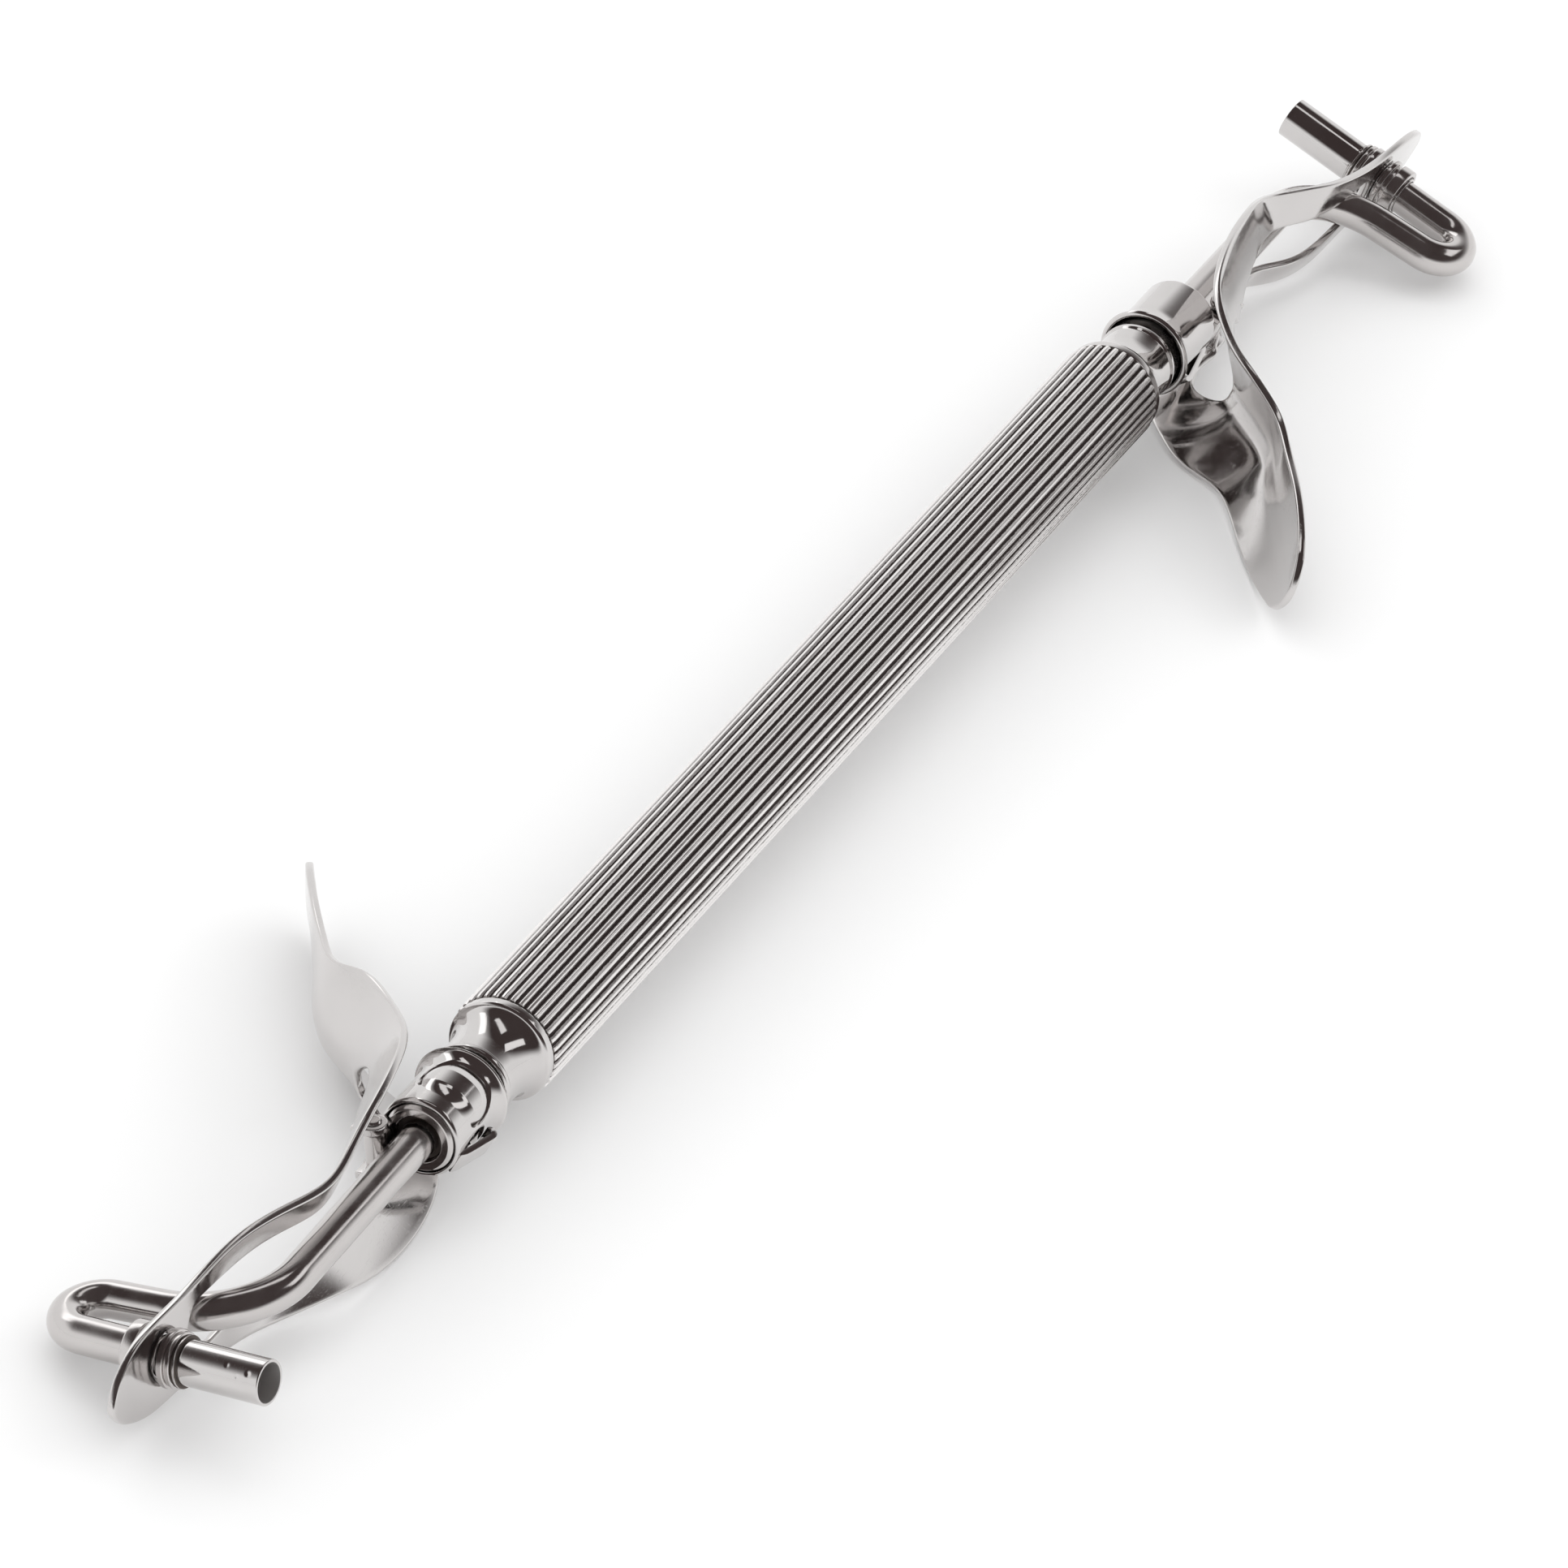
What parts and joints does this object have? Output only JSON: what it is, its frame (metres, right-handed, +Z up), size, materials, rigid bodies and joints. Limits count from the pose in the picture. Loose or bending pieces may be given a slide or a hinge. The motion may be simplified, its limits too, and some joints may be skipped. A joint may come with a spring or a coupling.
{
  "type": "lever carrier",
  "caption": "Double-ended steel lever carrier: fluted grip, and at each end a bent wire with a sliding tube that a stamped thumb lever pushes back.",
  "frame": {"origin": "point under the middle of the grip, on the surface that the instrument lies on", "axes": "+X along the grip to end a, +Y across, +Z up"},
  "size_m": [0.1876, 0.0396, 0.0117],
  "materials": {
    "fluted_steel": "bright drawn tube with cut flutes",
    "polished_steel": "mirror polished stainless steel",
    "wire_steel": "polished wire and turned steel",
    "inner_steel": "dull turned steel"
  },
  "bodies": {
    "handle": {"grip_tube": "fluted_steel", "end_cap_a": "polished_steel", "ferrule_a": "inner_steel", "wave_washer_a": "inner_steel", "hook_wire_a": "wire_steel", "end_cap_b": "polished_steel", "ferrule_b": "inner_steel", "wave_washer_b": "inner_steel", "hook_wire_b": "wire_steel"},
    "ring_a": {"lock_ring_a": "polished_steel"},
    "lever_a": {"lever_a": "polished_steel", "pivot_pin_a": "inner_steel"},
    "tube_a": {"slide_tube_a": "polished_steel", "stop_flange_a": "wire_steel", "keeper_ring_a": "wire_steel"},
    "ring_b": {"lock_ring_b": "polished_steel"},
    "lever_b": {"lever_b": "polished_steel", "pivot_pin_b": "inner_steel"},
    "tube_b": {"slide_tube_b": "polished_steel", "stop_flange_b": "wire_steel", "keeper_ring_b": "wire_steel"}
  },
  "joints": [
    {"name": "ring_turn_a", "type": "hinge", "parent": "handle", "child": "ring_a", "pos_m": [0.05625, 0, 0.0057], "axis": [1, 0, 0], "continuous": true},
    {"name": "lever_press_a", "type": "hinge", "parent": "handle", "child": "lever_a", "pos_m": [0.06115, -0.00202, 0.00512], "axis": [-0.0209, 0.2419, -0.9701], "range_deg": [0, 7.2]},
    {"name": "tube_slide_a", "type": "slide", "parent": "handle", "child": "tube_a", "axis": [-0.0871, -0.967, -0.2392], "range_m": [0, 0.0033]},
    {"name": "ring_turn_b", "type": "hinge", "parent": "handle", "child": "ring_b", "pos_m": [-0.05625, 0, 0.0057], "axis": [-1, 0, 0], "continuous": true},
    {"name": "lever_press_b", "type": "hinge", "parent": "handle", "child": "lever_b", "pos_m": [-0.06115, 0.00202, 0.00512], "axis": [0.0209, -0.2419, -0.9701], "range_deg": [0, 7.2]},
    {"name": "tube_slide_b", "type": "slide", "parent": "handle", "child": "tube_b", "axis": [0.0871, 0.967, -0.2392], "range_m": [0, 0.0033]}
  ],
  "couplings": [
    {"joint": "tube_slide_a", "follows": "lever_press_a", "m_per_rad": 0.0261},
    {"joint": "tube_slide_b", "follows": "lever_press_b", "m_per_rad": 0.0261}
  ]
}
